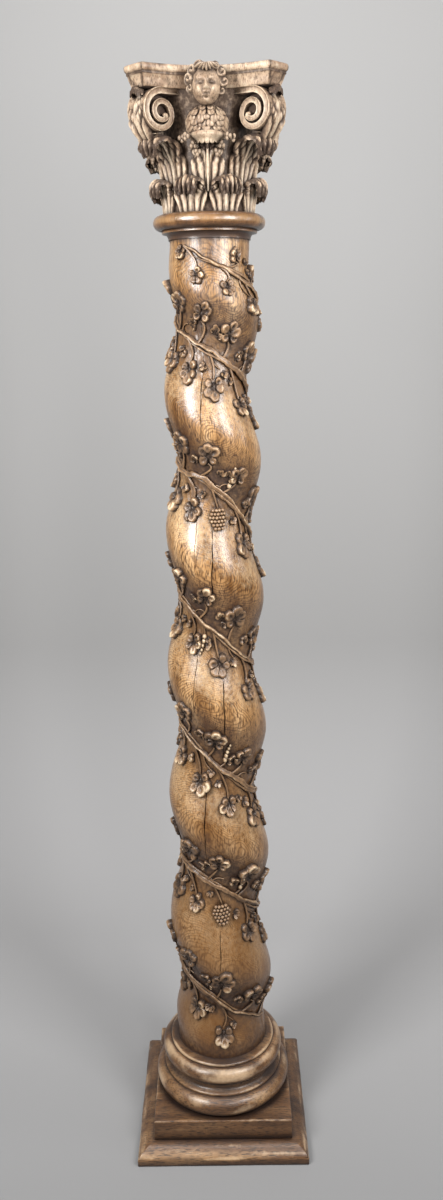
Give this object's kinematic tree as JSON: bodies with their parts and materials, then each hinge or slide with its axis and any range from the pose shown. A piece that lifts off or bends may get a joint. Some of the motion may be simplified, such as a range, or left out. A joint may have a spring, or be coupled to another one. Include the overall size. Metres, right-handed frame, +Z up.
{
  "type": "barley twist column",
  "caption": "Free-standing carved oak Solomonic column: vine-carved left-handed twist on a turned base and square plinth, under a Corinthian capital.",
  "frame": {"origin": "middle of the plinth slab's underside", "axes": "+Z up the column; -Y is the front, the side with the child's head on the capital; +X is to the right seen from the front"},
  "size_m": [0.3, 0.3, 1.8305],
  "materials": {
    "plinth_oak": "dark oak with dull wax and pale worn edges",
    "shaft_oak": "golden brown oak with a satin wax polish, darker in the carved hollow",
    "ring_oak": "brown oak with a glossy wax polish",
    "capital_oak": "pale dry oak with dark dust in the recesses"
  },
  "bodies": {
    "root": {"plinth_slab": "plinth_oak", "plinth_block": "plinth_oak", "turned_base": "plinth_oak", "twist_shaft": "shaft_oak", "neck_ring": "ring_oak", "capital": "capital_oak"}
  },
  "joints": []
}
